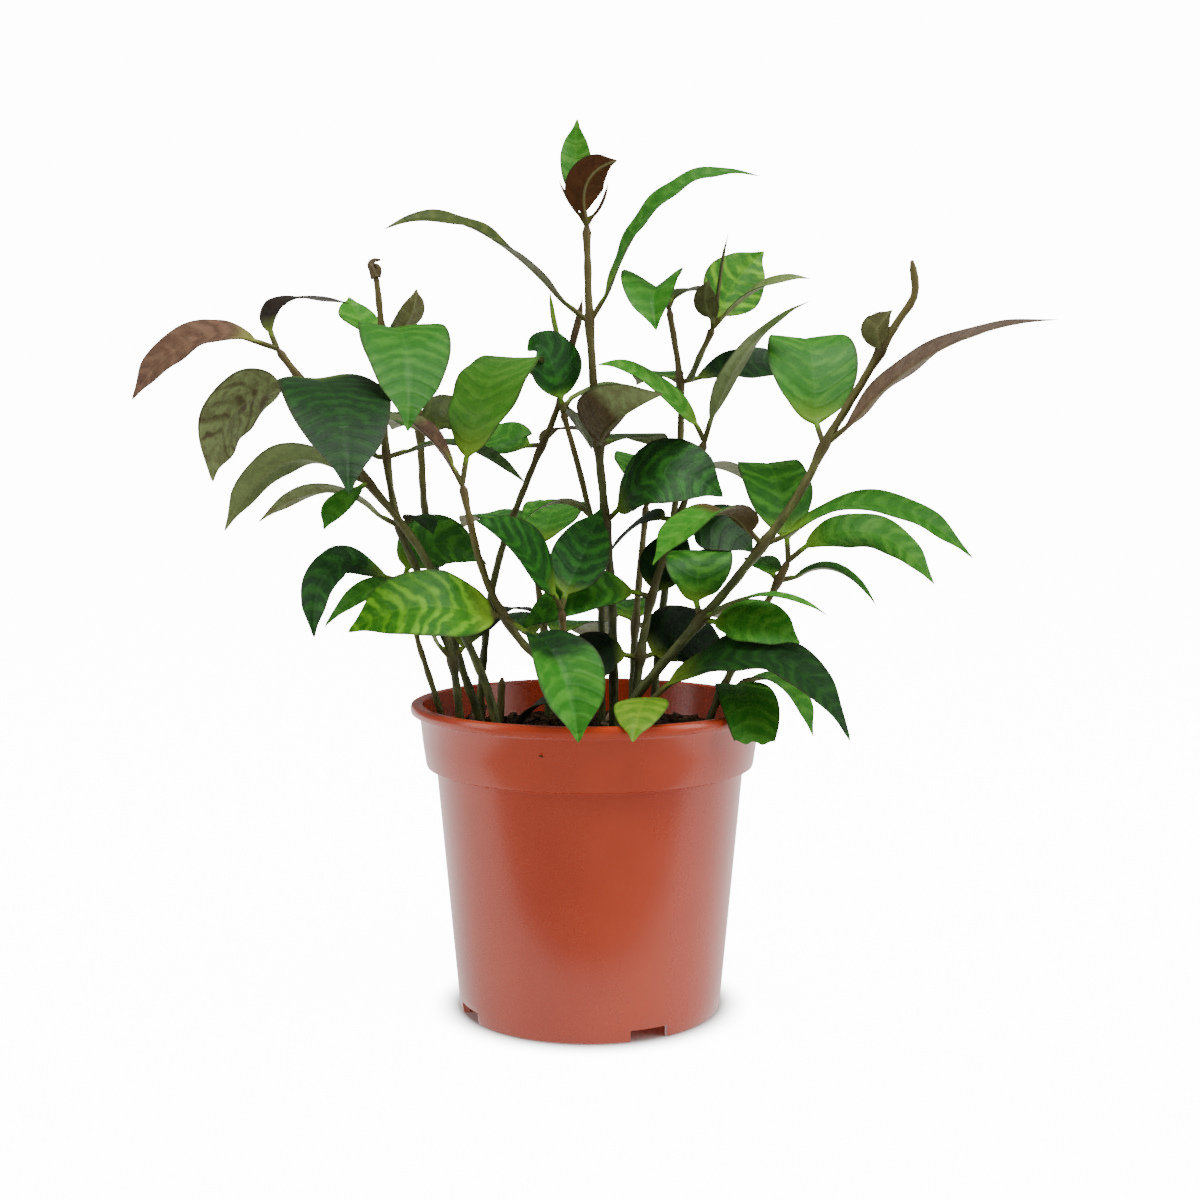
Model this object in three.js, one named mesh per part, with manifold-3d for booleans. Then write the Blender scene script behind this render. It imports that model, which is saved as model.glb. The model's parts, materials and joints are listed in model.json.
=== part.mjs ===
// A lipstick plant in its 12 cm nursery pot, as a three.js scene: millimetres, +Z up.
// The origin is the middle of the pot's foot, and -Y is the plant's front.
import * as THREE from 'three';
import { mergeVertices } from 'three/addons/utils/BufferGeometryUtils.js';
import Module from 'manifold-3d';

// Pot
const lipRadius = 60;
const potHeight = 103.4;
const footRadius = 44.1;
const shoulderRadius = 51.5; // the body just below the collar
const shoulderHeight = 81.6;
const collarRadius = 55; // the collar's lower end
const collarTopRadius = 57;
const lipDrop = 3.8;
const wall = 1.2;
const floorHeight = 6.5;
const drainSlot = { count: 4, width: 13.5, height: 4, firstAngle: 26 };
const drainHole = { radius: 4, distance: 28 };
const roundSteps = 48;

// Potting mix
const mixTop = 93;
const gap = 0.3; // between neighbouring pieces

// Plant
const buriedDepth = 27;
const stemSides = 6;
const stemStep = 11; // the length of stem between two rings of corners
const ringTube = 0.95; // the swollen joint that a pair of leaves grows from
const budRadius = 1.9;
const leafRings = 9;
const petioleEnd = 0.1; // as a share of the leaf's length
const petioleHalfWidth = 0.9;
const leafThickness = 0.8;
const leafFold = 20; // degrees that each half of a leaf rises from the midrib

const up = new THREE.Vector3(0, 0, 1);
const wasm = await Module();
wasm.setup();

function toSolid(geometry) {
  const bare = geometry.clone();
  bare.deleteAttribute('normal');
  bare.deleteAttribute('uv');
  const merged = mergeVertices(bare, 1e-4);
  return new wasm.Manifold(
    new wasm.Mesh({
      numProp: 3,
      vertProperties: Float32Array.from(merged.attributes.position.array),
      triVerts: Uint32Array.from(merged.index.array),
    }),
  );
}

function toGeometry(solid) {
  const mesh = solid.getMesh();
  const geometry = new THREE.BufferGeometry();
  geometry.setAttribute('position', new THREE.BufferAttribute(mesh.vertProperties, 3));
  geometry.setIndex(new THREE.BufferAttribute(mesh.triVerts, 1));
  geometry.computeVertexNormals();
  return geometry;
}

function moveCorners(geometry, place) {
  const corners = geometry.attributes.position;
  const corner = new THREE.Vector3();
  for (let i = 0; i < corners.count; i++) {
    place(corner.fromBufferAttribute(corners, i));
    corners.setXYZ(i, corner.x, corner.y, corner.z);
  }
  return geometry;
}

// ---- pot ----

function potSolid() {
  const profile = [
    [0, floorHeight],
    [footRadius - wall - 1, floorHeight],
    [footRadius - wall - 1, 0],
    [footRadius - 0.9, 0],
    [footRadius, 0.9],
    [shoulderRadius, shoulderHeight],
    [collarRadius - 1.2, shoulderHeight + 0.4],
    [collarRadius, shoulderHeight + 1.6],
    [collarTopRadius, potHeight - lipDrop],
    [lipRadius - 0.8, potHeight - lipDrop + 0.3],
    [lipRadius, potHeight - lipDrop + 1.1],
    [lipRadius, potHeight - 0.9],
    [lipRadius - 0.9, potHeight],
    [lipRadius - 2.6, potHeight],
    [collarTopRadius - wall, potHeight - 1.1],
    [collarRadius - wall, shoulderHeight + 2.6],
    [shoulderRadius - wall, shoulderHeight + 1],
    [footRadius - 0.6, floorHeight + wall + 1],
    [footRadius - 1.6, floorHeight + wall],
    [0, floorHeight + wall],
  ];
  const points = profile.map(([r, z]) => new THREE.Vector2(r, z));
  const shell = new THREE.LatheGeometry(points, roundSteps).rotateX(Math.PI / 2);
  let pot = toSolid(shell);
  for (let i = 0; i < drainSlot.count; i++) {
    const angle = THREE.MathUtils.degToRad(drainSlot.firstAngle + (360 * i) / drainSlot.count);
    const slot = new THREE.BoxGeometry(10, drainSlot.width, 2 * drainSlot.height);
    slot.translate(footRadius, 0, 0).rotateZ(angle);
    const hole = new THREE.CylinderGeometry(drainHole.radius, drainHole.radius, 10, 12);
    hole.rotateX(Math.PI / 2).translate(drainHole.distance, 0, floorHeight).rotateZ(angle);
    pot = pot.subtract(toSolid(slot)).subtract(toSolid(hole));
  }
  return pot;
}

// ---- potting mix ----

function mixSolid(sockets) {
  const profile = [
    [0, floorHeight + wall + gap],
    [footRadius - 1.9, floorHeight + wall + gap],
    [footRadius - 0.95, floorHeight + wall + 1 + gap],
    [shoulderRadius - wall - 0.35, shoulderHeight + 1 + gap],
    [collarRadius - wall - 0.4, shoulderHeight + 2.6 + gap],
    [collarRadius - wall + 0.3, mixTop - 2.5],
    [collarRadius - 6, mixTop - 1],
    [38, mixTop + 0.6],
    [22, mixTop - 0.4],
    [0, mixTop + 0.8],
  ];
  const points = profile.map(([r, z]) => new THREE.Vector2(r, z));
  const fill = new THREE.LatheGeometry(points, roundSteps).rotateX(Math.PI / 2);
  return sockets.reduce((solid, socket) => solid.subtract(socket), toSolid(fill));
}

// ---- stems ----

// A tapering stem along its route. Growing it by the gap gives the space it needs to itself.
function stemSolid(shoot, extra = 0) {
  const rings = Math.max(3, Math.round(shoot.curve.getLength() / stemStep));
  const rod = new THREE.CylinderGeometry(1, 1, 1, stemSides, rings);
  return toSolid(
    moveCorners(rod, (corner) => {
      const along = corner.y + 0.5;
      const radius = THREE.MathUtils.lerp(shoot.radius, shoot.radius * 0.72, along) + extra;
      const ahead = shoot.curve.getTangentAt(along);
      const side = new THREE.Vector3(0, 1, 0).cross(ahead).normalize();
      const front = side.clone().cross(ahead);
      const shift = (along - 0.5) * 2 * extra;
      const middle = shoot.curve.getPointAt(along).addScaledVector(ahead, shift);
      corner.copy(middle.addScaledVector(side, corner.x * radius).addScaledVector(front, corner.z * radius));
    }),
  );
}

// Where a stem passes a height, as a share of its length.
function shareAtHeight(curve, height) {
  let low = 0;
  let high = 1;
  for (let i = 0; i < 30; i++) {
    const middle = (low + high) / 2;
    if (curve.getPointAt(middle).z < height) low = middle;
    else high = middle;
  }
  return low;
}

// ---- leaves ----

// A leaf sets off from its joint towards `over` and ends at `tip`, both measured from the joint.
function leaf(over, tip, width, roll = 0) {
  return { over: new THREE.Vector3(...over), tip: new THREE.Vector3(...tip), width, roll };
}

function bladeHalfWidth(along, width) {
  const share = Math.max(0, (along - petioleEnd) / (1 - petioleEnd));
  const blade = (width / 2) * Math.sin(Math.PI * share ** 0.72) ** 0.9;
  return Math.max(blade, petioleHalfWidth * (1 - along));
}

function leafSolid({ over, tip, width, roll }, joint, stemAhead, start) {
  const heading = new THREE.Vector3(over.x + tip.x, over.y + tip.y, 0).normalize();
  const across = heading.clone().cross(up);
  const outward = over.clone().addScaledVector(stemAhead, -over.dot(stemAhead)).normalize();
  const base = joint.clone().addScaledVector(outward, start);
  const curve = new THREE.QuadraticBezierCurve3(base, joint.clone().add(over), joint.clone().add(tip));
  const blade = new THREE.CylinderGeometry(0, 1, 1, 4, leafRings - 1);
  const fold = THREE.MathUtils.degToRad(leafFold);
  const turn = THREE.MathUtils.degToRad(roll);
  return toSolid(
    moveCorners(blade, (corner) => {
      const along = corner.y + 0.5;
      const taper = Math.max(1 - along, 1e-9);
      const ahead = curve.getTangentAt(along);
      const right = across.clone().applyAxisAngle(ahead, turn);
      right.addScaledVector(ahead, -right.dot(ahead)).normalize();
      const above = right.clone().cross(ahead);
      const half = bladeHalfWidth(along, width);
      const lift = Math.abs(corner.x / taper) * half * Math.sin(fold);
      const thick = (corner.z / taper) * (leafThickness / 2) * (1.3 - 0.8 * along);
      const sideways = (corner.x / taper) * half * Math.cos(fold);
      const atTip = along > 0.999;
      corner.copy(curve.getPointAt(along));
      if (!atTip) corner.addScaledVector(right, sideways).addScaledVector(above, lift + thick);
    }),
  );
}

// Leaves that share a joint: a swollen ring round the stem, or a bud on the stem's end.
function leavesSolid(shoot, height, leaves) {
  const onEnd = height === 'end';
  const share = onEnd ? 1 : shareAtHeight(shoot.curve, height);
  const ahead = shoot.curve.getTangentAt(share);
  const stemRadius = THREE.MathUtils.lerp(shoot.radius, shoot.radius * 0.72, share);
  const joint = shoot.curve.getPointAt(share);
  const middle = stemRadius + gap + ringTube;
  let heart = new THREE.TorusGeometry(middle, ringTube, 4, 8);
  if (onEnd) {
    heart = new THREE.SphereGeometry(budRadius, 8, 6).rotateX(Math.PI / 2);
    joint.addScaledVector(ahead, budRadius);
  }
  heart.applyQuaternion(new THREE.Quaternion().setFromUnitVectors(up, ahead));
  heart.translate(joint.x, joint.y, joint.z);
  const start = onEnd ? 0.4 : middle;
  const parts = leaves.map((one) => leafSolid(one, joint, ahead, start));
  const all = parts.reduce((solid, part) => solid.add(part), toSolid(heart));
  return all.subtract(stemSolid(shoot, gap));
}

// Each shoot: its stem's radius at the base, its route from the buried end up, and its leaves
// from the lowest joint to the top, each group with the height of its joint.
const shoots = {
  centre_tall: {
    radius: 1.75,
    route: [[8, 2, 66], [8, 0, 112], [7, 0, 143], [3, 0, 188], [0, 0, 229], [-1, 0, 261]],
    leaves: [
      [163, leaf([-14, -6, 14], [-27, -14, 1], 11), leaf([14, -12, 28], [38, -14, 9], 32, 45)],
      [188, leaf([0, -20, 8], [20, -38, 16], 30), leaf([12, 20, 10], [22, 44, 0], 22)],
      [229, leaf([-39, -5, 45], [-66, -12, 29], 15), leaf([19, 4, 58], [57, 12, 50], 15)],
      ['end', leaf([-5, 3, 12], [-3, 4, 33], 12, 10), leaf([-4, -8, 14], [10, -5, 18], 14),
        leaf([-6, 0, 5], [-9, 1, 13], 3), leaf([6, 1, 4], [7, 2, 12], 3)],
    ],
  },
  centre_left: {
    radius: 1.5,
    route: [[-38, 16, 66], [-38, 16, 100], [-32, 14, 147], [-19, 16, 183], [-11, 18, 202], [-8, 18, 217]],
    leaves: [
      [183, leaf([-10, 10, 14], [-24, 22, 8], 18, -30), leaf([0, 6, 16], [18, 14, 11], 9)],
      ['end', leaf([-6, 0, 10], [-6, 2, 23], 9), leaf([4, -2, 8], [5, -2, 20], 7)],
    ],
  },
  centre_inner: {
    radius: 1.4,
    route: [[4, 13, 66], [4, 13, 110], [3, 12, 150], [-1, 9, 170], [-5, 4, 186], [-9, 0, 200]],
    leaves: [
      ['end', leaf([-4, -2, 26], [-11, -2, 18], 23, -60), leaf([14, 10, 12], [26, 14, 6], 10),
        leaf([4, 14, 2], [10, 24, -14], 20, 40)],
    ],
  },
  back_tall: {
    radius: 1.5,
    route: [[20, 20, 66], [24, 22, 120], [29, 21, 165], [31, 20, 188], [31, 20, 210], [27, 20, 236]],
    leaves: [
      [210, leaf([24, 6, 12], [41, 14, 6], 16, 20), leaf([-6, 20, 10], [-14, 44, 2], 16)],
      ['end', leaf([-8, -16, 12], [-5, -30, -12], 26), leaf([7, 4, 7], [13, 8, 4], 12)],
    ],
  },
  side_twig: {
    radius: 1.3,
    route: [[34, 18, 211], [37, 17, 218], [42, 16, 229]],
    leaves: [
      ['end', leaf([6, 14, 16], [18, 18, 26], 22, 50), leaf([16, -3, 17], [31, -6, 14], 9),
        leaf([1, 0, 16], [4, 0, 30], 4), leaf([-6, -7, 6], [-3, -10, 13], 9)],
    ],
  },
  centre_right: {
    radius: 1.6,
    route: [[14, -6, 66], [16, -6, 112], [21, -4, 140], [29, -3, 163], [34, -2, 177], [38, -2, 190]],
    leaves: [
      [117, leaf([-12, -2, 10], [-28, -4, -10], 26, -30), leaf([14, 8, 14], [32, 14, 0], 30, 40)],
      [138, leaf([-20, -8, 10], [-43, -12, -9], 19, -40), leaf([6, 6, 16], [10, 12, 24], 18, 20)],
      [163, leaf([-12, 10, 6], [-24, 14, -13], 18, -20), leaf([12, -8, 4], [24, -14, -9], 20, 45)],
      ['end', leaf([-20, -6, 26], [-36, -8, 23], 18, -35), leaf([8, -12, 33], [31, -22, 42], 12)],
    ],
  },
  far_right: {
    radius: 1.75,
    route: [[6, -18, 66], [12, -22, 102], [29, -26, 125], [49, -28, 149], [67, -28, 174], [74, -28, 188],
      [90, -28, 215], [99, -28, 231], [103, -28, 238], [101, -28, 246]],
    leaves: [
      [133, leaf([1, 6, 32], [0, 26, 16], 22), leaf([18, -14, 17], [38, -16, 3], 12),
        leaf([15, -8, 4], [30, -14, -6], 18, 45)],
      [156, leaf([33, -4, 30], [66, -6, -3], 16, 10), leaf([-12, -14, 24], [-35, -24, -4], 24)],
      [188, leaf([-2, 14, 50], [-4, 40, 30], 30), leaf([28, -4, 38], [71, -8, 39], 18, -25)],
      [215, leaf([-3, -4, 8], [4, -6, 15], 10), leaf([3, 4, 7], [8, 8, 13], 3.5)],
    ],
  },
  right_low: {
    radius: 1.5,
    route: [[34, -10, 66], [40, -12, 100], [47, -12, 115], [56, -12, 134], [62, -12, 144], [65, -12, 151]],
    leaves: [
      [108, leaf([20, -10, 16], [28, -18, -12], 16), leaf([8, -24, 14], [8, -36, -22], 20)],
      [144, leaf([18, 4, 13], [33, 6, -8], 11), leaf([-4, 10, 10], [-8, 22, 6], 12)],
      ['end', leaf([26, -4, 20], [46, -6, -9], 17, 40), leaf([-6, 8, 46], [-8, 32, 22], 25)],
    ],
  },
  left_tall: {
    radius: 1.5,
    route: [[-38, -12, 66], [-43, -12, 101], [-45, -12, 118], [-54, -12, 142], [-62, -12, 162],
      [-66, -12, 184], [-67, -12, 224], [-69, -12, 244]],
    leaves: [
      [118, leaf([-16, -4, 42], [-41, -6, 12], 14), leaf([8, 8, 22], [26, 24, 14], 24)],
      [162, leaf([-20, -6, 23], [-44, -10, 2], 13), leaf([6, -4, 8], [12, -8, -2], 12)],
      [184, leaf([22, 8, 14], [45, 12, -8], 11), leaf([-8, 4, 6], [-16, 6, 2], 10)],
      [224, leaf([-8, 8, 2], [-13, 16, 14], 16), leaf([10, -4, 2], [12, -8, 14], 16),
        leaf([14, -36, 7], [14, -52, -32], 29)],
    ],
  },
  left_bud: {
    radius: 1.6,
    route: [[-32, 6, 66], [-38, 6, 98], [-43, 6, 112], [-55, 6, 162], [-57, 6, 193], [-59, 6, 227]],
    leaves: [
      [193, leaf([8, 2, 10], [18, 6, 5], 20, 40), leaf([-6, 16, 8], [-14, 36, 2], 16)],
      ['end', leaf([1, -1, 3], [2, -1, 7], 4), leaf([-2, 1, 3], [-2, 1, 8], 3)],
    ],
  },
  far_left: {
    radius: 1.6,
    route: [[-26, -20, 66], [-32, -22, 107], [-44, -23, 135], [-56, -23, 158], [-70, -23, 176],
      [-91, -23, 208], [-99, -23, 219]],
    leaves: [
      [176, leaf([-28, 4, 24], [-48, 6, -15], 15, 25), leaf([-6, -8, 0], [-13, -12, -14], 15)],
      [208, leaf([-26, -12, -2], [-25, -18, -31], 27, 48), leaf([20, -42, 3], [24, -64, -34], 33)],
      ['end', leaf([-26, -4, 11], [-43, -8, -18], 18, -25), leaf([-9, 6, 21], [22, 14, 14], 11),
        leaf([-5, 0, 3], [-10, 0, 5], 2.5)],
    ],
  },
  front_left: {
    radius: 1.6,
    route: [[2, -26, 66], [-4, -28, 104], [-14, -30, 119], [-23, -30, 128], [-33, -30, 147],
      [-40, -30, 176]],
    leaves: [
      [128, leaf([-22, -10, 20], [-51, -16, 3], 28, -45), leaf([15, -28, 6], [20, -36, -28], 26)],
      ['end', leaf([11, 6, 54], [22, 40, 34], 29), leaf([-14, 2, 26], [-34, 8, 17], 16)],
    ],
  },
  left_low: {
    radius: 1.3,
    route: [[-42, -2, 66], [-49, -4, 96], [-51, -4, 104], [-55, -4, 116], [-58, -4, 127], [-62, -4, 143]],
    leaves: [
      ['end', leaf([8, 4, 20], [28, 6, 4], 26, 50), leaf([-30, -4, 16], [-28, -8, -19], 17, -25),
        leaf([-10, 6, 14], [-22, 10, 7], 18, -30)],
    ],
  },
  cut_stub: {
    radius: 1.7,
    route: [[-30, -8, 66], [-30, -8, 92], [-29, -8, 112]],
    leaves: [],
  },
  front_low: {
    radius: 1.5,
    route: [[-4, -16, 66], [-6, -19, 104], [-9, -22, 136]],
    leaves: [
      [104, leaf([-11, 2, 6], [-18, 4, -10], 20)],
      ['end', leaf([-11, -10, 21], [-26, -14, 27], 28, -45), leaf([8, 12, 18], [13, 12, 30], 20, 30)],
    ],
  },
  front_right_low: {
    radius: 1.4,
    route: [[16, -32, 66], [17, -34, 92], [18, -36, 107]],
    leaves: [
      ['end', leaf([42, -8, 34], [62, -14, -11], 26, 20), leaf([-2, -18, 4], [-5, -28, -9], 17)],
    ],
  },
  back_left: {
    radius: 1.6,
    route: [[-14, 26, 66], [-15, 28, 100], [-16, 30, 120], [-20, 34, 150]],
    leaves: [
      [120, leaf([-14, 16, 14], [-30, 34, 0], 22), leaf([14, 24, 14], [18, 52, -8], 22)],
      ['end', leaf([-14, 26, 22], [-30, 46, 6], 24), leaf([10, 30, 26], [12, 54, 10], 24)],
    ],
  },
  back_right: {
    radius: 1.6,
    route: [[14, 30, 66], [15, 33, 100], [16, 36, 124], [20, 42, 168]],
    leaves: [
      [124, leaf([-4, 30, 18], [-10, 52, -4], 24), leaf([24, 18, 14], [46, 32, -6], 24)],
      ['end', leaf([2, 26, 26], [0, 46, 8], 26), leaf([20, 14, 22], [42, 34, 4], 24)],
    ],
  },
};

const looks = {
  pot: { color: 0xc04a28, roughness: 0.35 },
  mix: { color: 0x2b1d14, roughness: 0.95 },
  stem: { color: 0x5c5f33, roughness: 0.6 },
  leaf: { color: 0x3a6a2c, roughness: 0.45 },
};

const plant = new THREE.Group();

function addNode(name, solid, look) {
  const material = new THREE.MeshStandardMaterial({ ...look, metalness: 0 });
  const mesh = new THREE.Mesh(toGeometry(solid), material);
  mesh.name = name;
  plant.add(mesh);
}

for (const shoot of Object.values(shoots)) {
  const points = shoot.route.map((point) => new THREE.Vector3(...point));
  shoot.curve = new THREE.CatmullRomCurve3(points, false, 'centripetal');
}
const sockets = Object.values(shoots).map((shoot) => stemSolid(shoot, gap));
addNode('pot', potSolid(), looks.pot);
addNode('potting_mix', mixSolid(sockets), looks.mix);
for (const [name, shoot] of Object.entries(shoots)) {
  addNode(`${name}_stem`, stemSolid(shoot), looks.stem);
  shoot.leaves.forEach(([height, ...leaves], i) => {
    addNode(`${name}_leaves_${i + 1}`, leavesSolid(shoot, height, leaves), looks.leaf);
  });
}

export default plant;
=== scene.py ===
import json
import math
import random

import bpy
import numpy as np
from mathutils import Euler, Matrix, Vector

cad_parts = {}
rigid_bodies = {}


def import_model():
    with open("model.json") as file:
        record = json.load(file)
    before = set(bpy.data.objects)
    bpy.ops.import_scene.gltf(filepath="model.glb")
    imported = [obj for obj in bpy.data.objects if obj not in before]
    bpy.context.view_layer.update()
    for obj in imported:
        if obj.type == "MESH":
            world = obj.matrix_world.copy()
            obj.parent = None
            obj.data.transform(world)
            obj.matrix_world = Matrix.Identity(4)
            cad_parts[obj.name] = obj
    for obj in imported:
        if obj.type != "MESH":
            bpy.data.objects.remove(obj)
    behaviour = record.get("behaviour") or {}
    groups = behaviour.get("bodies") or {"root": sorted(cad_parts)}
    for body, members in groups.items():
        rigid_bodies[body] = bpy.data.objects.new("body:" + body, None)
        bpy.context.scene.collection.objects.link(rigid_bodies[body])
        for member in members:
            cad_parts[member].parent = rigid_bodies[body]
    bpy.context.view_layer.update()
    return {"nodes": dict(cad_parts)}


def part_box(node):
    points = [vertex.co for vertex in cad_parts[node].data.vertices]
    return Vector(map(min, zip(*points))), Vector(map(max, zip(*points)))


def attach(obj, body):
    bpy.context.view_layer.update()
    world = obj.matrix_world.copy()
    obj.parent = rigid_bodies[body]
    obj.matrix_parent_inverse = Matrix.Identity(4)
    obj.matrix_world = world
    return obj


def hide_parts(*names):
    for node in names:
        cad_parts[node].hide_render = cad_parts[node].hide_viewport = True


for thing in list(bpy.data.objects):
    bpy.data.objects.remove(thing)
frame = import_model()
nodes = frame["nodes"]
mm = 0.001
random.seed(12)


# helpers


def deselectAll():
    if bpy.context.object and bpy.context.object.mode != "OBJECT":
        bpy.ops.object.mode_set(mode="OBJECT")
    bpy.ops.object.select_all(action="DESELECT")


def makeActive(piece):
    deselectAll()
    piece.select_set(True)
    bpy.context.view_layer.objects.active = piece


def editFaces(piece, wanted):
    # goes into edit mode with only the wanted faces selected
    makeActive(piece)
    bpy.ops.object.mode_set(mode="EDIT")
    bpy.ops.mesh.select_mode(type="FACE")
    bpy.ops.mesh.select_all(action="DESELECT")
    bpy.ops.object.mode_set(mode="OBJECT")
    for face in piece.data.polygons:
        face.select = wanted(face)
    bpy.ops.object.mode_set(mode="EDIT")


def editEdges(piece, wanted):
    makeActive(piece)
    bpy.ops.object.mode_set(mode="EDIT")
    bpy.ops.mesh.select_mode(type="EDGE")
    bpy.ops.mesh.select_all(action="DESELECT")
    bpy.ops.object.mode_set(mode="OBJECT")
    points = piece.data.vertices
    for edge in piece.data.edges:
        a, b = (points[i].co for i in edge.vertices)
        edge.select = wanted(a, b)
    bpy.ops.object.mode_set(mode="EDIT")


def leaveEdit():
    bpy.ops.object.mode_set(mode="OBJECT")


def applyModifier(piece, kind, **settings):
    makeActive(piece)
    modifier = piece.modifiers.new(kind.title(), kind)
    for key, value in settings.items():
        setattr(modifier, key, value)
    bpy.ops.object.modifier_apply(modifier=modifier.name)


def cornersOf(piece):
    flat = np.empty(len(piece.data.vertices) * 3)
    piece.data.vertices.foreach_get("co", flat)
    return flat.reshape(-1, 3)


def moveCorners(piece, places):
    piece.data.vertices.foreach_set("co", np.asarray(places, float).ravel())
    piece.data.update()


def smoothByAngle(piece, degrees=40):
    makeActive(piece)
    bpy.ops.object.shade_smooth_by_angle(angle=math.radians(degrees))


def copyPiece(master, name):
    piece = master.copy()
    piece.data = master.data.copy()
    piece.name = piece.data.name = name
    bpy.context.scene.collection.objects.link(piece)
    return piece


def joinPieces(parts, name):
    makeActive(parts[0])
    for part in parts:
        part.select_set(True)
    bpy.ops.object.join()
    parts[0].name = parts[0].data.name = name
    return parts[0]


def finishPiece(piece, slot, *replaced):
    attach(piece, "root")
    if replaced:
        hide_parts(*replaced)


# reading the frame: where each stem and leaf runs


def mergedGraph(node):
    # the node's corners with doubles merged, and which corners are neighbours
    mesh = nodes[node].data
    corners = cornersOf(nodes[node])
    keys, merged, places = {}, [], []
    for corner in corners:
        key = tuple(np.round(corner / 2e-6).astype(int))
        if key not in keys:
            keys[key] = len(places)
            places.append(corner)
        merged.append(keys[key])
    linked = [set() for place in places]
    for edge in mesh.edges:
        a, b = (merged[i] for i in edge.vertices)
        if a != b:
            linked[a].add(b)
            linked[b].add(a)
    return np.array(places), linked


def layersFrom(start, linked):
    # rings of corners, each one step further from the start
    seen, layers = set(start), [list(start)]
    while layers[-1]:
        ahead = {b for a in layers[-1] for b in linked[a]} - seen
        seen |= ahead
        layers.append(sorted(ahead))
    return layers[:-1]


def smoothLine(points, steps):
    # a centripetal curve through the points, at even steps
    points = [np.asarray(p, float) for p in points]
    points = [2 * points[0] - points[1]] + points + [2 * points[-1] - points[-2]]
    dense = []
    for a, b, c, d in zip(points, points[1:], points[2:], points[3:]):
        for t in np.linspace(0, 1, 12, endpoint=False):
            dense.append(
                0.5
                * (2 * b + (c - a) * t + (2 * a - 5 * b + 4 * c - d) * t**2 + (3 * b - a - 3 * c + d) * t**3)
            )
    dense.append(points[-2])
    dense = np.array(dense)
    gone = np.concatenate([[0], np.cumsum(np.linalg.norm(np.diff(dense, axis=0), axis=1))])
    even = np.linspace(0, gone[-1], steps)
    return np.stack([np.interp(even, gone, dense[:, k]) for k in range(dense.shape[1])], 1)


def unit(rows):
    return rows / (np.linalg.norm(rows, axis=-1, keepdims=True) + 1e-12)


def readStem(node):
    places, linked = mergedGraph(node)
    low = places[:, 2].min()
    start = [i for i, place in enumerate(places) if place[2] < low + 2 * mm]
    rings = [layer for layer in layersFrom(start, linked) if len(layer) >= 6]
    middles = [places[ring].mean(0) for ring in rings]
    radii = [np.linalg.norm(places[ring] - middle, axis=1).max() for ring, middle in zip(rings, middles)]
    return {"line": np.array(middles), "radius": np.array(radii)}


def readLeaves(node):
    # each leaf's rings of four corners run back from its tip to the joint
    places, linked = mergedGraph(node)
    leaves = []
    for i, near in enumerate(linked):
        if len(near) != 4:
            continue
        layers = layersFrom([i], linked)
        rings = []
        for layer in layers[1:8]:
            if len(layer) != 4:
                break
            rings.append(layer)
        if len(rings) < 4:
            continue
        line, rights, aboves, halves = [places[i]], [], [], []
        for ring in rings:
            spots = places[ring]
            apart = np.linalg.norm(spots[:, None] - spots[None], axis=2)
            a, b = np.unravel_index(apart.argmax(), apart.shape)
            others = [k for k in range(4) if k not in (a, b)]
            chord = (spots[a] + spots[b]) / 2
            lower = max(others, key=lambda k: np.linalg.norm(spots[k] - chord))
            upper = next(k for k in others if k != lower)
            middle = (spots[lower] + spots[upper]) / 2
            above = unit(chord - spots[lower])
            ahead = unit(line[-1] - middle)
            right = unit(spots[b] - spots[a])
            if np.dot(np.cross(ahead, above), right) < 0:
                right = -right
            line.append(middle)
            rights.append(right)
            aboves.append(above)
            halves.append(apart.max() / 2)
        leaves.append(
            {
                "line": np.array(line[::-1]),
                "right": np.array(rights[::-1]),
                "above": np.array(aboves[::-1]),
                "half": max(halves),
                "tip": places[i],
            }
        )
    # from the left tip to the right one
    return sorted(leaves, key=lambda leaf: leaf["tip"][0])


stemNodes = sorted(n for n in nodes if n.endswith("_stem"))
leafNodes = sorted(n for n in nodes if "_leaves_" in n)
stems = {n[: -len("_stem")]: readStem(n) for n in stemNodes}
leafGroups = {n: readLeaves(n) for n in leafNodes}
print("frame read:", len(stems), "stems,", sum(map(len, leafGroups.values())), "leaves")


# camera: above the middle of the plant, looking slightly down

cameraPlace = {"x": 3.43, "distance": 550, "height": 180.7, "tilt": 0.079, "lens": 49.41}
bpy.ops.object.camera_add(
    location=(cameraPlace["x"] * mm, -cameraPlace["distance"] * mm, cameraPlace["height"] * mm),
    rotation=(math.pi / 2 - cameraPlace["tilt"], 0, 0),
)
camera = bpy.context.object
camera.data.lens = cameraPlace["lens"]
camera.data.sensor_width = 36
camera.data.clip_start = 0.01
bpy.context.scene.camera = camera


# materials


def colour(code):
    # a web colour as the linear red, green and blue that shaders take
    parts = [int(code[i : i + 2], 16) / 255 for i in (0, 2, 4)]
    return tuple(p / 12.92 if p <= 0.04045 else ((p + 0.055) / 1.055) ** 2.4 for p in parts) + (1,)


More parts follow.
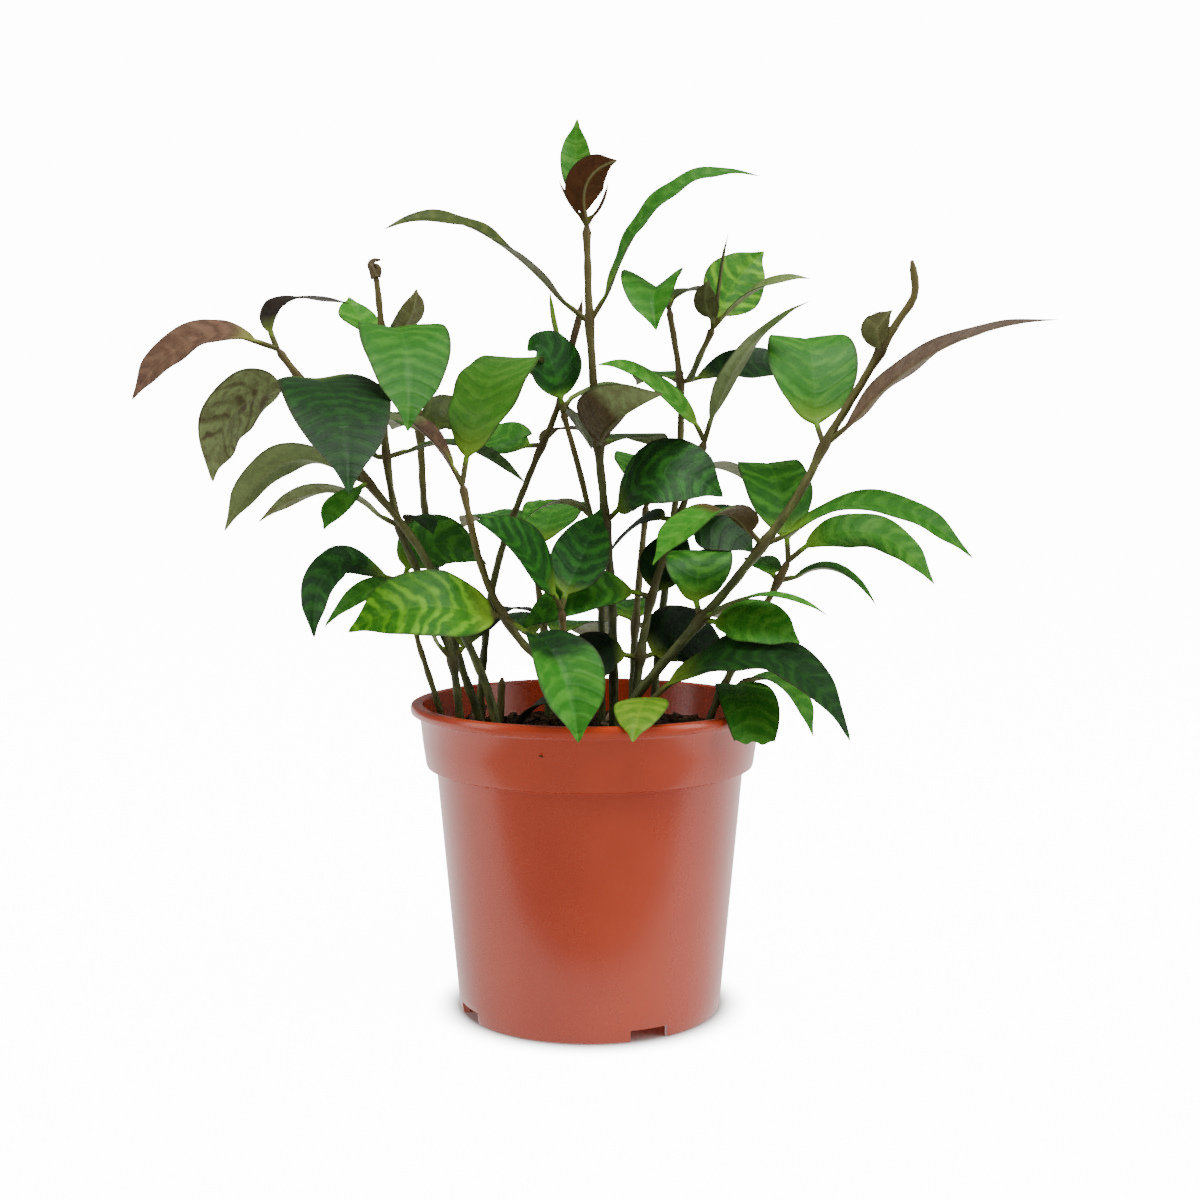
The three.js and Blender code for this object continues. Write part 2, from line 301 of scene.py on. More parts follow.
class Wiring:
    # adds nodes to a tree; an input takes a value or another node's output

    def __init__(self, tree):
        self.tree = tree

    def node(self, kind, inputs=(), **settings):
        made = self.tree.nodes.new("ShaderNode" + kind)
        for key, value in settings.items():
            setattr(made, key, value)
        for key, value in dict(inputs).items():
            if isinstance(value, bpy.types.NodeSocket):
                self.tree.links.new(value, made.inputs[key])
            else:
                made.inputs[key].default_value = value
        return made

    def math(self, operation, a, b=0.0, clamp=False):
        return self.node("Math", {0: a, 1: b}, operation=operation, use_clamp=clamp).outputs[0]

    def mix(self, factor, a, b, blend="MIX"):
        made = self.node("Mix", {0: factor, 6: a, 7: b}, data_type="RGBA", blend_type=blend)
        return made.outputs[2]

    def noise(self, vector, scale, detail=2.0, rough=0.5, warp=0.0):
        inputs = {"Vector": vector, "Scale": scale, "Detail": detail, "Roughness": rough, "Distortion": warp}
        return self.node("TexNoise", inputs).outputs["Fac"]

    def ramp(self, value, low, high):
        inputs = {0: value, 1: low, 2: high, 3: 0.0, 4: 1.0}
        return self.node("MapRange", inputs, interpolation_type="SMOOTHSTEP").outputs[0]


def newGroup(name, inputs, outputs):
    group = bpy.data.node_groups.new(name, "ShaderNodeTree")
    for label, kind in inputs:
        group.interface.new_socket(label, in_out="INPUT", socket_type="NodeSocket" + kind)
    for label, kind in outputs:
        group.interface.new_socket(label, in_out="OUTPUT", socket_type="NodeSocket" + kind)
    wiring = Wiring(group)
    return group, wiring, group.nodes.new("NodeGroupInput").outputs, group.nodes.new("NodeGroupOutput").inputs


def newMaterial(name, **shaderValues):
    material = bpy.data.materials.new(name)
    material.use_nodes = True
    shader = material.node_tree.nodes["Principled BSDF"]
    for key, value in shaderValues.items():
        shader.inputs[key.replace("_", " ")].default_value = value
    return material, Wiring(material.node_tree), shader.inputs


def useGroup(wiring, group, inputs):
    made = wiring.node("Group", node_tree=group)
    for key, value in inputs.items():
        if isinstance(value, bpy.types.NodeSocket):
            wiring.tree.links.new(value, made.inputs[key])
        else:
            made.inputs[key].default_value = value
    return made.outputs


def join(wiring, output, socket):
    wiring.tree.links.new(output, socket)


def speckleGroup():
    # fine dust and stains that break up a smooth surface
    inputs = [("Vector", "Vector"), ("Scale", "Float"), ("Amount", "Float")]
    inputs += [("Base", "Color"), ("Dust", "Color")]
    group, w, given, out = newGroup("dustAndStain", inputs, [("Color", "Color"), ("Rough", "Float")])
    wide = w.noise(given["Vector"], w.math("MULTIPLY", given["Scale"], 0.12), 4, 0.6)
    fine = w.noise(given["Vector"], given["Scale"], 6, 0.7)
    both = w.math("MULTIPLY", w.ramp(wide, 0.38, 0.72), w.ramp(fine, 0.42, 0.7))
    much = w.math("MULTIPLY", both, given["Amount"], clamp=True)
    join(w, w.mix(much, given["Base"], given["Dust"]), out["Color"])
    join(w, w.math("MULTIPLY", much, 0.35), out["Rough"])
    return group


dustAndStain = speckleGroup()

leafPattern = {"bandsPerCm": 1.75, "bandSlant": 0.9, "bandWander": 1.7, "bandSwirl": 0.5, "veinsPerCm": 2.1}


def leafPatternGroup():
    # the pale bands between a leaf's side veins, and where its midrib, margin, base and stalk are
    inputs = [("Seed", "Float"), ("Banding", "Float")]
    outputs = [(n, "Float") for n in ("Band", "Mottle", "Vein", "Midrib", "Margin", "Base", "Stalk")]
    group, w, given, out = newGroup("leafPattern", inputs, outputs)
    place = w.node("Attribute", attribute_name="leafPlace").outputs["Vector"]
    place = w.node("SeparateXYZ", {0: place}).outputs
    size = w.node("Attribute", attribute_name="leafSize").outputs["Vector"]
    size = w.node("SeparateXYZ", {0: size}).outputs
    aside = w.math("SQRT", w.math("ADD", w.math("MULTIPLY", size[1], size[1]), 0.2))
    spot = w.node("CombineXYZ", {0: size[0], 1: size[1], 2: given["Seed"]}).outputs[0]
    wander = w.noise(spot, 0.85, 2, 0.5, 0.4)
    swirl = w.noise(spot, 2.6, 2, 0.5)
    slanted = w.math("SUBTRACT", size[0], w.math("MULTIPLY", aside, leafPattern["bandSlant"]))
    phase = w.math("MULTIPLY", slanted, leafPattern["bandsPerCm"])
    phase = w.math("ADD", phase, w.math("MULTIPLY", wander, leafPattern["bandWander"]))
    phase = w.math("ADD", phase, w.math("MULTIPLY", swirl, leafPattern["bandSwirl"]))
    wave = w.math("SINE", w.math("MULTIPLY", phase, 2 * math.pi))
    broken = w.noise(spot, 1.3, 3, 0.6)
    band = w.math("ADD", w.math("MULTIPLY", wave, 0.5), w.math("MULTIPLY", broken, 2.2))
    band = w.ramp(band, 0.85, 1.95)
    join(w, w.math("MULTIPLY", band, given["Banding"]), out["Band"])
    join(w, w.noise(spot, 3.2, 4, 0.65), out["Mottle"])
    veinPhase = w.math("MULTIPLY", slanted, leafPattern["veinsPerCm"] * 2 * math.pi)
    vein = w.ramp(w.math("COSINE", veinPhase), 0.55, 1.0)
    join(w, vein, out["Vein"])
    across = w.math("ABSOLUTE", place[1])
    join(w, w.ramp(w.math("ABSOLUTE", size[1]), 0.07, 0.015), out["Midrib"])
    join(w, w.ramp(across, 0.9, 0.99), out["Margin"])
    join(w, w.ramp(place[0], 0.3, 0.13), out["Base"])
    join(w, w.ramp(place[0], 0.115, 0.075), out["Stalk"])
    return group


leafPatternNodes = leafPatternGroup()
leafColours = {"base": "8fae34", "margin": "33301c", "stalk": "57562c", "vein": "1f4417", "dust": "7f9070"}


def leafMaterial(name, upper):
    material, w, shader = newMaterial(name, Specular_IOR_Level=0.2 if upper else 0.15)
    seed = w.node("Attribute", attribute_name="leafSeed").outputs["Fac"]
    banding = w.node("Attribute", attribute_name="banding").outputs["Fac"]
    marks = useGroup(w, leafPatternNodes, {"Seed": seed, "Banding": banding})
    if upper:
        deep = w.node("Attribute", attribute_name="deepColour").outputs["Color"]
        light = w.node("Attribute", attribute_name="lightColour").outputs["Color"]
        shade = w.mix(marks["Band"], deep, light)
        shade = w.mix(w.math("MULTIPLY", w.ramp(marks["Mottle"], 0.35, 0.75), 0.3), shade, light)
        shade = w.mix(w.math("MULTIPLY", marks["Base"], 0.5), shade, colour(leafColours["base"]))
        shade = w.mix(w.math("MULTIPLY", marks["Vein"], 0.1), shade, colour(leafColours["vein"]))
        shade = w.mix(w.math("MULTIPLY", marks["Midrib"], 0.2), shade, light)
        lift = w.math("MULTIPLY", marks["Vein"], -0.6)
    else:
        under = w.node("Attribute", attribute_name="underColour").outputs["Color"]
        marble = w.node("Attribute", attribute_name="marbleColour").outputs["Color"]
        clouds = w.math("MULTIPLY", w.ramp(marks["Mottle"], 0.42, 0.62), 0.45)
        shade = w.mix(w.math("MAXIMUM", clouds, w.math("MULTIPLY", marks["Band"], 0.8)), under, marble)
        shade = w.mix(w.math("MULTIPLY", marks["Midrib"], 0.5), shade, colour("8b9160"))
        lift = w.math("MULTIPLY", marks["Vein"], 0.5)
    shade = w.mix(w.math("MULTIPLY", marks["Margin"], 0.6), shade, colour(leafColours["margin"]))
    shade = w.mix(marks["Stalk"], shade, colour(leafColours["stalk"]))
    place = w.node("TexCoord").outputs["Object"]
    inputs = {"Vector": place, "Scale": 900.0, "Amount": 0.05}
    inputs.update({"Base": shade, "Dust": colour(leafColours["dust"])})
    dusty = useGroup(w, dustAndStain, inputs)
    join(w, dusty["Color"], shader["Base Color"])
    rough = w.math("ADD", dusty["Rough"], w.math("MULTIPLY", marks["Mottle"], 0.16))
    join(w, w.math("ADD", rough, 0.4 if upper else 0.5), shader["Roughness"])
    grain = w.noise(place, 2600, 2, 0.6)
    height = w.math("ADD", lift, w.math("MULTIPLY", grain, 0.35))
    bump = w.node("Bump", {"Height": height, "Strength": 0.35, "Distance": 0.0004})
    join(w, bump.outputs[0], shader["Normal"])
    return material


leafTop = leafMaterial("leafTop", True)
leafUnder = leafMaterial("leafUnder", False)

stemColours = {"old": "66703a", "oldDark": "3c4722", "young": "6a5a2c", "joint": "4a3c1e"}


def stemMaterial():
    material, w, shader = newMaterial("stemSkin", Specular_IOR_Level=0.35)
    place = w.node("Attribute", attribute_name="stemPlace").outputs["Vector"]
    joint = w.node("Attribute", attribute_name="joint").outputs["Fac"]
    youth = w.node("Attribute", attribute_name="youth").outputs["Fac"]
    streaks = w.noise(place, 1.6, 4, 0.6)
    specks = w.noise(place, 9, 3, 0.7)
    skin = w.mix(w.ramp(streaks, 0.35, 0.68), colour(stemColours["oldDark"]), colour(stemColours["old"]))
    skin = w.mix(w.math("MULTIPLY", youth, 0.85), skin, colour(stemColours["young"]))
    skin = w.mix(w.math("MULTIPLY", w.ramp(specks, 0.6, 0.75), 0.35), skin, colour("868a4e"))
    skin = w.mix(w.math("MULTIPLY", joint, 0.7), skin, colour(stemColours["joint"]))
    join(w, skin, shader["Base Color"])
    join(w, w.math("ADD", w.math("MULTIPLY", streaks, 0.25), 0.38), shader["Roughness"])
    height = w.math("ADD", streaks, w.math("MULTIPLY", specks, 0.5))
    bump = w.node("Bump", {"Height": height, "Strength": 0.4, "Distance": 0.0005})
    join(w, bump.outputs[0], shader["Normal"])
    return material


potColours = {"plastic": "c04017", "deep": "b5370f", "flow": "c4481e", "dust": "c9694a"}


def potMaterial():
    material, w, shader = newMaterial("terracottaPlastic", Specular_IOR_Level=0.5, Coat_Roughness=0.12)
    place = w.node("TexCoord").outputs["Object"]
    clouds = w.noise(place, 22, 3, 0.5)
    stretched = w.node("Mapping", {"Vector": place, "Scale": (60, 60, 9)}).outputs[0]
    flow = w.noise(stretched, 1, 4, 0.55)
    plastic = w.mix(w.ramp(clouds, 0.3, 0.7), colour(potColours["deep"]), colour(potColours["plastic"]))
    plastic = w.mix(w.math("MULTIPLY", w.ramp(flow, 0.45, 0.75), 0.25), plastic, colour(potColours["flow"]))
    inputs = {"Vector": place, "Scale": 700.0, "Amount": 0.08}
    inputs.update({"Base": plastic, "Dust": colour(potColours["dust"])})
    dusty = useGroup(w, dustAndStain, inputs)
    join(w, dusty["Color"], shader["Base Color"])
    rough = w.math("ADD", dusty["Rough"], w.math("MULTIPLY", flow, 0.14))
    join(w, w.math("ADD", rough, 0.2), shader["Roughness"])
    waves = w.noise(stretched, 0.6, 2, 0.4)
    grain = w.noise(place, 3000, 1, 0.5)
    height = w.math("ADD", waves, w.math("MULTIPLY", grain, 0.03))
    bump = w.node("Bump", {"Height": height, "Strength": 0.12, "Distance": 0.001})
    join(w, bump.outputs[0], shader["Normal"])
    return material


def soilMaterial(name, dark, pale, scale):
    material, w, shader = newMaterial(name, Specular_IOR_Level=0.2)
    place = w.node("TexCoord").outputs["Object"]
    clumps = w.noise(place, scale, 5, 0.65)
    crumbs = w.noise(place, scale * 5, 4, 0.7)
    shade = w.mix(w.ramp(clumps, 0.35, 0.7), colour(dark), colour(pale))
    shade = w.mix(w.math("MULTIPLY", w.ramp(crumbs, 0.5, 0.8), 0.5), shade, colour("8a7358"))
    join(w, shade, shader["Base Color"])
    join(w, w.math("ADD", w.math("MULTIPLY", crumbs, 0.2), 0.75), shader["Roughness"])
    bump = w.node("Bump", {"Height": w.math("ADD", clumps, crumbs), "Strength": 0.7, "Distance": 0.0012})
    join(w, bump.outputs[0], shader["Normal"])
    return material


stemSkin = stemMaterial()
potPlastic = potMaterial()
peat = soilMaterial("peat", "1c130d", "382619", 160)
barkMaterial = soilMaterial("barkChips", "3a2a1e", "6b5138", 240)
dryLeafMaterial = soilMaterial("dryLeaf", "6f5a45", "b8a48c", 180)
print("materials made")


# pot

potLow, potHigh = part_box("pot")
potShape = {
    "sides": 128,
    "footShare": 0.735,  # radii as shares of the lip's
    "shoulderShare": 0.8583,
    "collarShare": 0.9167,
    "collarTopShare": 0.95,
    "shoulderAt": 0.789,  # heights as shares of the pot's
    "lipDrop": 3.8,
    "wall": 1.2,
    "floor": 6.5,
    "slotWidth": 13.5,
    "slotHeight": 4.0,
    "slotTurn": 26,
    "drainHole": 4.0,
    "drainHoleMiddle": 7.1,
    "drainAt": 28,
}


def makePot():
    p = potShape
    lip = potHigh.x
    height = potHigh.z
    foot = lip * p["footShare"]
    shoulder = lip * p["shoulderShare"]
    collar = lip * p["collarShare"]
    collarTop = lip * p["collarTopShare"]
    step = height * p["shoulderAt"]
    rim = height - p["lipDrop"] * mm
    wall = p["wall"] * mm
    bpy.ops.mesh.primitive_circle_add(vertices=p["sides"], radius=foot - 2.2 * mm, fill_type="NOTHING")
    pot = bpy.context.object
    pot.name = pot.data.name = "nursery_pot"
    bpy.ops.object.mode_set(mode="EDIT")
    # radius and height of each ring, from the foot up the outside and down the inside
    rings = [
        (foot - 0.9 * mm, 0),
        (foot - 0.25 * mm, 0.3 * mm),
        (foot, 1.1 * mm),
        (foot + (shoulder - foot) * 0.08, step * 0.08),
        (foot + (shoulder - foot) * 0.5, step * 0.5),
        (shoulder - 0.15 * mm, step - 1.5 * mm),
        (shoulder, step - 0.3 * mm),
        (shoulder + 0.5 * mm, step + 0.15 * mm),
        (collar - 1.1 * mm, step + 0.4 * mm),
        (collar - 0.3 * mm, step + 0.9 * mm),
        (collar, step + 1.9 * mm),
        (collar + (collarTop - collar) * 0.5, (step + rim) / 2),
        (collarTop - 0.1 * mm, rim - 0.9 * mm),
        (collarTop + 0.3 * mm, rim - 0.2 * mm),
        (lip - 1.0 * mm, rim + 0.2 * mm),
        (lip - 0.25 * mm, rim + 0.7 * mm),
        (lip, rim + 1.5 * mm),
        (lip, height - 1.3 * mm),
        (lip - 0.35 * mm, height - 0.4 * mm),
        (lip - 1.2 * mm, height),
        (lip - 2.5 * mm, height),
        (collarTop - wall + 0.25 * mm, height - 0.35 * mm),
        (collarTop - wall, height - 1.3 * mm),
        (collar - wall, step + 2.8 * mm),
        (collar - wall - 1.2 * mm, step + 1.4 * mm),
        (shoulder - wall, step + 0.9 * mm),
        (foot - wall + 0.55 * mm, (p["floor"] + 2.4) * mm),
        (foot - wall - 0.6 * mm, (p["floor"] + 1.2) * mm),
        (foot * 0.5, (p["floor"] + 1.2) * mm),
    ]
    radius, level = foot - 2.2 * mm, 0.0
    for nextRadius, nextLevel in rings:
        bpy.ops.mesh.extrude_region_move(TRANSFORM_OT_translate={"value": (0, 0, nextLevel - level)})
        grow = nextRadius / radius
        bpy.ops.transform.resize(value=(grow, grow, 1), center_override=(0, 0, nextLevel))
        radius, level = nextRadius, nextLevel
    bpy.ops.mesh.edge_face_add()
    # the recess under the floor, from the ring that the pot started as
    editEdges(pot, lambda a, b: max(a.z, b.z) < 1e-6 and a.xy.length < foot - 2 * mm)
    bpy.ops.mesh.extrude_region_move(TRANSFORM_OT_translate={"value": (0, 0, p["floor"] * mm)})
    bpy.ops.mesh.edge_face_add()
    bpy.ops.mesh.select_all(action="SELECT")
    bpy.ops.mesh.normals_make_consistent(inside=False)
    leaveEdit()
    # drain slots in the foot ring and round holes in the floor
    for i in range(4):
        turn = math.radians(p["slotTurn"] + 90 * i)
        at = Vector((math.cos(turn), math.sin(turn), 0))
        bpy.ops.mesh.primitive_cube_add(size=1, location=at * foot, rotation=(0, 0, turn))
        slot = bpy.context.object
        slot.scale = (10 * mm, p["slotWidth"] * mm, 2 * p["slotHeight"] * mm)
        bpy.ops.mesh.primitive_cylinder_add(
            vertices=24,
            radius=p["drainHole"] * mm,
            depth=6 * mm,
            location=at * p["drainAt"] * mm + Vector((0, 0, p["drainHoleMiddle"] * mm)),
        )
        hole = bpy.context.object
        for cutter in (slot, hole):
            applyModifier(pot, "BOOLEAN", object=cutter, operation="DIFFERENCE", solver="EXACT")
            bpy.data.objects.remove(cutter)
    sharp = math.radians(50)
    applyModifier(pot, "BEVEL", width=0.25 * mm, segments=2, limit_method="ANGLE", angle_limit=sharp)
    smoothByAngle(pot, 35)
    pot.data.materials.append(potPlastic)
    finishPiece(pot, "pot_plastic", "pot")
    return pot


makePot()
print("pot made")


# potting mix

mixLow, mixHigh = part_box("potting_mix")
mixShape = {"rings": 32, "waves": 26, "crumbHeight": 1.7, "chips": 150, "dryLeaves": 9, "fibres": 40}


def makeMix():
    p = potShape
    spread = mixHigh.x - 0.2 * mm
    foot = potHigh.x * p["footShare"] - (p["wall"] + 1.0) * mm
    shoulder = potHigh.x * p["shoulderShare"] - (p["wall"] + 0.6) * mm
    step = potHigh.z * p["shoulderAt"]
    top = mixHigh.z - 1.5 * mm
    bpy.ops.mesh.primitive_circle_add(vertices=96, radius=foot, fill_type="NGON", location=(0, 0, mixLow.z))
    mix = bpy.context.object
    mix.name = mix.data.name = "peat_mix"
    bpy.ops.object.transform_apply(location=True, rotation=False, scale=False)
    editFaces(mix, lambda face: True)
    radius, level = foot, mixLow.z
    # just inside the pot's wall, its shoulder step and its collar
    outline = ((shoulder, step - 1 * mm), (spread - 1 * mm, step + 3.2 * mm), (spread, top))
    for nextRadius, nextLevel in outline:
        bpy.ops.mesh.extrude_region_move(TRANSFORM_OT_translate={"value": (0, 0, nextLevel - level)})
        grow = nextRadius / radius
        bpy.ops.transform.resize(value=(grow, grow, 1), center_override=(0, 0, nextLevel))
        radius, level = nextRadius, nextLevel
    # the top, inset ring by ring and roughened
    for i in range(mixShape["rings"]):
        bpy.ops.mesh.inset(thickness=spread / (mixShape["rings"] + 2))
    bpy.ops.mesh.poke()
    bpy.ops.mesh.select_all(action="SELECT")
    bpy.ops.mesh.normals_make_consistent(inside=False)
    leaveEdit()
    places = cornersOf(mix)
    rng = np.random.default_rng(5)
    # each wave over the top has a pitch, a heading and a phase; the fourth draw is spare
    waves = [
        (rng.uniform(120, 900), rng.uniform(0, 6.3), rng.uniform(0, 6.3), rng.uniform(0, 6.3))
        for i in range(mixShape["waves"])
    ]
    for spot in places:
        reach = math.hypot(spot[0], spot[1])
        if spot[2] > top - 0.1 * mm:
            rough = 0
            for pitch, turn, phase, spare in waves:
                along = spot[0] * math.cos(turn) + spot[1] * math.sin(turn)
                rough += math.sin(along * pitch + phase) / (1 + pitch / 260)
            fade = min(1, max(0, (spread - reach) / (4 * mm)))
            crumb = rough * 0.22 + rng.uniform(-0.5, 0.5)
            spot[2] += crumb * mixShape["crumbHeight"] * 0.5 * mm * (0.3 + 0.7 * fade)
            spot[2] -= 1.2 * mm * (1 - fade)
    moveCorners(mix, places)
    smoothByAngle(mix, 60)
    mix.data.materials.append(peat)
    finishPiece(mix, "potting_mix", "potting_mix")
    return mixHigh.z - 1.0 * mm


mixSurface = makeMix()


def scatter(master, name, count, lie, sizes):
    # copies of one crumb, thrown over the mix and joined
    rng = random.Random(name)
    parts = []
    for i in range(count):
        part = copyPiece(master, f"{name}_{i}")
        turn, reach = rng.uniform(0, 2 * math.pi), math.sqrt(rng.uniform(0.01, 1)) * (mixHigh.x - 5 * mm)
        size = rng.uniform(*sizes) * mm
        places = cornersOf(part) * size * np.array([1, rng.uniform(0.5, 1), rng.uniform(0.6, 1)])
        a, b, c = rng.uniform(0, 6.3), rng.gauss(0, lie), rng.gauss(0, lie)
        for k, spot in enumerate(places):
            turned = Vector(spot)
            turned.rotate(Euler((b, c, a)))
            places[k] = turned + Vector((reach * math.cos(turn), reach * math.sin(turn), mixSurface))
        moveCorners(part, places)
        parts.append(part)
    bpy.data.objects.remove(master)
    return joinPieces(parts, name)


def crumbMaster(sharp):
    # a rough chip, one across
    bpy.ops.mesh.primitive_cube_add(size=1)
    chip = bpy.context.object
    bpy.ops.object.mode_set(mode="EDIT")
    bpy.ops.mesh.subdivide(number_cuts=1)
    leaveEdit()
    rng = np.random.default_rng(sharp)
    places = cornersOf(chip)
    places += rng.uniform(-0.16, 0.16, places.shape)
    moveCorners(chip, places)
    applyModifier(chip, "BEVEL", width=0.08, segments=1)
    return chip


chip = crumbMaster(3)
moveCorners(chip, cornersOf(chip) * np.array([1, 0.6, 0.35]))
bark = scatter(chip, "bark_chips", mixShape["chips"], 0.35, (2.0, 5.5))
bark.data.materials.append(barkMaterial)
finishPiece(bark, "potting_mix")

flake = crumbMaster(4)
moveCorners(flake, cornersOf(flake) * np.array([1, 0.55, 0.09]))
flakes = scatter(flake, "dry_leaf_bits", mixShape["dryLeaves"], 0.5, (6, 12))
flakes.data.materials.append(dryLeafMaterial)
finishPiece(flakes, "potting_mix")

fibre = crumbMaster(7)
moveCorners(fibre, cornersOf(fibre) * np.array([1, 0.12, 0.14]))
fibres = scatter(fibre, "bark_fibres", mixShape["fibres"], 0.3, (7, 15))
fibres.data.materials.append(barkMaterial)
finishPiece(fibres, "potting_mix")
print("potting mix made")


# stems

stemShape = {"sides": 14, "cuts": 72, "swell": 0.45, "swellLength": 3.2, "lumps": 0.06}


def stemMaster():
    bpy.ops.mesh.primitive_cylinder_add(vertices=stemShape["sides"], radius=1, depth=2)
    stem = bpy.context.object
    editEdges(stem, lambda a, b: abs(a.z - b.z) > 1)
    bpy.ops.mesh.subdivide(number_cuts=stemShape["cuts"])
    leaveEdit()
    stem.data.materials.append(stemSkin)
    smoothByAngle(stem, 60)
    return stem


def sideways(line):
    # two directions across the line at each of its points, turning as little as they can
    ahead = unit(np.gradient(line, axis=0))
    right = np.zeros_like(line)
    right[0] = unit(np.cross(ahead[0], [0.3, 1, 0.2]))
    for i in range(1, len(line)):
        right[i] = unit(right[i - 1] - ahead[i] * np.dot(right[i - 1], ahead[i]))
    return ahead, right, np.cross(ahead, right)


def pick(rows, share):
    # rows read at a share of the way along them
    steps = np.linspace(0, 1, len(rows))
    rows = np.asarray(rows, float).reshape(len(rows), -1)
    return np.stack([np.interp(share, steps, rows[:, k]) for k in range(rows.shape[1])], -1)


def addAttribute(piece, name, kind, values):
    layer = piece.data.attributes.new(name, kind, "POINT")
    key = {"FLOAT": "value", "FLOAT_VECTOR": "vector", "FLOAT_COLOR": "color"}[kind]
    layer.data.foreach_set(key, np.asarray(values, float).ravel())


def tubeAlong(master, name, line, radius, seed):
    # the master bent along a line; radius takes a share and gives millimetres
    tube = copyPiece(master, name)
    places = cornersOf(tube)
    share = (places[:, 2] + 1) / 2
    out = np.hypot(places[:, 0], places[:, 1])
    turn = np.arctan2(places[:, 1], places[:, 0])
    line = smoothLine(line, 160)
    ahead, right, front = sideways(line)
    length = np.linalg.norm(np.diff(line, axis=0), axis=1).sum() / mm
    lumps = 0
    lumpDraw = np.random.default_rng(seed)
    for k in range(5):
        pitch = lumpDraw.uniform(0.15, 0.9)
        wave = np.sin(turn * (k % 3) + share * length * pitch + lumpDraw.uniform(0, 6.3))
        lumps = lumps + wave * stemShape["lumps"] / (1 + k * 0.5)
    thick = radius(share * length) * (1 + lumps) * out
    across = np.cos(turn)[:, None] * pick(right, share) + np.sin(turn)[:, None] * pick(front, share)
    moveCorners(tube, pick(line, share) + across * thick[:, None] * mm)
    around = np.stack([np.cos(turn) * 0.5, np.sin(turn) * 0.5, share * length / 10 + seed * 7], -1)
    addAttribute(tube, "stemPlace", "FLOAT_VECTOR", around)
    return tube, share * length


def nearestOn(line, place):
    away = np.linalg.norm(line - place, axis=1)
    return int(away.argmin())


def jointOf(shoot, leaves):
    # the index on the stem's fine line that a group of leaves grows from
    fine = smoothLine(stems[shoot]["line"], 240)
    starts = [2 * leaf["line"][0] - leaf["line"][1] for leaf in leaves]
    return fine, nearestOn(fine, np.mean(starts, 0))


joints = {}
for name, leaves in leafGroups.items():
    shoot = name.split("_leaves_")[0]
    fine, index = jointOf(shoot, leaves)
    joints[name] = {"shoot": shoot, "place": fine[index], "share": index / (len(fine) - 1)}


def makeStems():
    master = stemMaster()
    for number, (shoot, stem) in enumerate(stems.items()):
        length = np.linalg.norm(np.diff(stem["line"], axis=0), axis=1).sum() / mm
        base = stem["radius"].max() / mm
        marks = [j["share"] * length for j in joints.values() if j["shoot"] == shoot]

        def radius(gone, base=base, length=length, marks=marks):
            thick = base * (1 - 0.3 * gone / length)
            for mark in marks:
                swell = np.exp(-(((gone - mark) / stemShape["swellLength"]) ** 2))
                thick = thick * (1 + stemShape["swell"] * swell)
            return thick * np.clip((length + 0.9 - gone) / 2.5, 0.45, 1)

        piece, gone = tubeAlong(master, shoot + "_stalk", stem["line"], radius, number)
        near = np.zeros(len(gone))
        for mark in marks:
            near = np.maximum(near, np.exp(-(((gone - mark) / 3.5) ** 2)))
        addAttribute(piece, "joint", "FLOAT", near)
        addAttribute(piece, "youth", "FLOAT", np.clip(gone / length * 1.5 - 0.55, 0, 1))
        finishPiece(piece, "stem", shoot + "_stem")
    # the dried end of the tall left shoot, curled over where its top withered
    top = stems["left_tall"]["line"][-1]
    for name, path, base in driedEnds:
        line = [top + np.array(step) * mm for step in path]

        def radius(gone, base=base):
            return base * (1.25 - gone / gone.max())

        end, gone = tubeAlong(master, name, line, radius, 40)
        addAttribute(end, "joint", "FLOAT", np.ones(len(gone)))
        addAttribute(end, "youth", "FLOAT", np.ones(len(gone)))
        finishPiece(end, "stem")
    bpy.data.objects.remove(master)


# path in millimetres from the shoot's top, and thickness
driedEnds = [
    ("dried_tip", [(0.2, 0, -1.5), (-0.8, 0, 1), (-1.6, 0.3, 2.6), (-0.6, 0.6, 4), (1.6, 0.6, 4.2)], 1.5),
    ("dried_scale", [(0.3, 0, -1), (1.1, -0.4, 0.8), (0.8, -0.6, 2), (-0.4, -0.8, 2.8)], 1.3),
]
makeStems()
print("stems made")


# leaves

# deep and light are the upper side's ground and bands, under and marble the lower side's


def leafLook(deep, light, under, marble, banding):
    return {"deep": deep, "light": light, "under": under, "marble": marble, "banding": banding}


